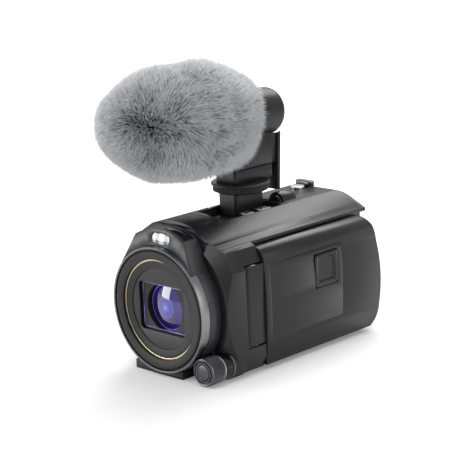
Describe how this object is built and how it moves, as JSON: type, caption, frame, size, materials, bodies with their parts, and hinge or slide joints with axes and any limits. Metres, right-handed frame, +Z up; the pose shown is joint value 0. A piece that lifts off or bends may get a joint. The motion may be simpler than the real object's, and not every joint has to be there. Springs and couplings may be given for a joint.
{
  "type": "camcorder",
  "caption": "Hand-held camcorder with a side-opening screen panel, front dial, sliding shoe cover, hand strap and a shoe microphone in a fur wind muff.",
  "frame": {"origin": "mouth of the tripod socket, in the plane of the base", "axes": "+Z up, the lens looks along -Y, the screen panel closes on the +X side"},
  "size_m": [0.0793, 0.1422, 0.1397],
  "materials": {
    "casing": "satin charcoal moulded plastic",
    "black_gloss": "polished black plastic",
    "black_matte": "fine matte black",
    "gold": "polished gold-coloured ring",
    "silver": "bright satin metal",
    "dial_metal": "dark anodised, turned",
    "steel": "brushed steel",
    "lens_glass": "coated glass with a violet sheen",
    "screen_glass": "dark screen glass",
    "circuit": "circuit board",
    "soft_rubber": "soft black rubber",
    "strap_fabric": "woven black webbing over a pad",
    "fur": "long grey synthetic fur"
  },
  "bodies": {
    "root": {"side_casing": "casing", "grip_casing": "casing", "top_cover": "casing", "rear_panel": "casing", "base_plate": "casing", "front_hood": "casing", "lens_bezel": "black_gloss", "flash_window": "black_gloss", "dial_collar": "black_gloss", "dial_label_ring": "black_gloss", "filter_ring": "black_matte", "name_ring": "black_matte", "gap_ring": "black_matte", "shoe_frame": "black_matte", "mic_foot": "black_matte", "mic_grommet": "black_matte", "front_plate": "black_matte", "lens_barrel": "black_matte", "mic_collar": "black_matte", "mic_body": "black_matte", "mic_barrel": "black_matte", "trim_ring": "gold", "shoe_rails": "silver", "deck_cap": "dial_metal", "screws": "steel", "tripod_socket": "steel", "hinge_bracket": "steel", "strap_anchors": "steel", "front_lens": "lens_glass", "lens_groups": "lens_glass", "lamp_window": "lens_glass", "image_sensor": "circuit", "main_board": "circuit", "grip_strap": "strap_fabric"},
    "lcd_panel": {"lcd_outer_cover": "casing", "lcd_label_panel": "black_gloss", "projector_window": "lens_glass", "projector_module": "circuit", "lcd_inner_frame": "casing", "lcd_screen": "screen_glass", "hinge_arm": "casing"},
    "upper_blade": {"shutter_upper": "black_matte"},
    "lower_blade": {"shutter_lower": "black_matte"},
    "dial": {"manual_dial": "dial_metal"},
    "dial_key": {"dial_button": "silver"},
    "sliding_shoe_cover": {"shoe_cover": "casing"},
    "photo_key": {"photo_button": "silver"},
    "zoom_key": {"zoom_lever": "silver"},
    "record_key": {"start_stop_button": "dial_metal"},
    "battery": {"battery_pack": "black_matte"},
    "battery_latch": {"battery_lever": "silver"},
    "viewfinder": {"viewfinder_tube": "black_gloss", "viewfinder_lens": "lens_glass", "eyecup": "soft_rubber"},
    "jack_door": {"jack_cover": "casing"},
    "card_lid": {"card_door": "casing"},
    "power_key": {"power_button": "dial_metal"},
    "projector_key": {"projector_button": "dial_metal"},
    "mic_lock": {"lock_ring": "black_matte"},
    "muff": {"wind_muff": "fur"}
  },
  "joints": [
    {"name": "lcd_hinge", "type": "hinge", "parent": "root", "child": "lcd_panel", "pos_m": [0.0314, -0.0266, 0.0324], "axis": [0, 0, -1], "range_deg": [0, 90]},
    {"name": "shutter_upper_slide", "type": "slide", "parent": "root", "child": "upper_blade", "axis": [0, 0, -1], "range_m": [0, 0.0113]},
    {"name": "shutter_lower_slide", "type": "slide", "parent": "root", "child": "lower_blade", "axis": [0, 0, 1], "range_m": [0, 0.0113]},
    {"name": "dial_spin", "type": "hinge", "parent": "root", "child": "dial", "pos_m": [0.027, -0.0515, 0.0069], "axis": [0, 1, 0], "continuous": true},
    {"name": "dial_press", "type": "slide", "parent": "dial", "child": "dial_key", "axis": [0, 1, 0], "range_m": [0, 0.0008], "stiffness_N_per_m": 300},
    {"name": "shoe_cover_slide", "type": "slide", "parent": "root", "child": "sliding_shoe_cover", "axis": [0, 1, 0], "range_m": [0, 0.015]},
    {"name": "photo_press", "type": "slide", "parent": "root", "child": "photo_key", "axis": [0, 0, -1], "range_m": [0, 0.0006], "stiffness_N_per_m": 300},
    {"name": "zoom_shift", "type": "slide", "parent": "root", "child": "zoom_key", "axis": [1, 0, 0], "range_m": [-0.0025, 0.0025], "stiffness_N_per_m": 300},
    {"name": "record_press", "type": "slide", "parent": "root", "child": "record_key", "axis": [0, -1, 0], "range_m": [0, 0.0007], "stiffness_N_per_m": 300},
    {"name": "battery_slide", "type": "slide", "parent": "root", "child": "battery", "axis": [0, 0, 1], "range_m": [0, 0.008]},
    {"name": "battery_latch_slide", "type": "slide", "parent": "root", "child": "battery_latch", "axis": [1, 0, 0], "range_m": [0, 0.003], "stiffness_N_per_m": 150},
    {"name": "viewfinder_pull", "type": "slide", "parent": "root", "child": "viewfinder", "axis": [0, 1, 0], "range_m": [0, 0.012]},
    {"name": "jack_cover_hinge", "type": "hinge", "parent": "root", "child": "jack_door", "pos_m": [-0.03, -0.03985, 0.031], "axis": [0, 0, 1], "range_deg": [0, 90]},
    {"name": "card_door_hinge", "type": "hinge", "parent": "root", "child": "card_lid", "pos_m": [-0.0208, 0.024, 0.0003], "axis": [0, 1, 0], "range_deg": [0, 85]},
    {"name": "power_press", "type": "slide", "parent": "root", "child": "power_key", "axis": [-1, 0, 0], "range_m": [0, 0.0005], "stiffness_N_per_m": 300},
    {"name": "projector_press", "type": "slide", "parent": "root", "child": "projector_key", "axis": [-1, 0, 0], "range_m": [0, 0.0005], "stiffness_N_per_m": 300},
    {"name": "mic_lock_turn", "type": "hinge", "parent": "root", "child": "mic_lock", "pos_m": [-0.00475, 0.0059, 0.0774], "axis": [0, 0, 1], "range_deg": [0, 270]},
    {"name": "muff_slide", "type": "slide", "parent": "root", "child": "muff", "axis": [0, -0.9976, 0.0698], "range_m": [0, 0.07]}
  ],
  "couplings": [
    {"joint": "shutter_lower_slide", "follows": "shutter_upper_slide", "ratio": 1}
  ]
}
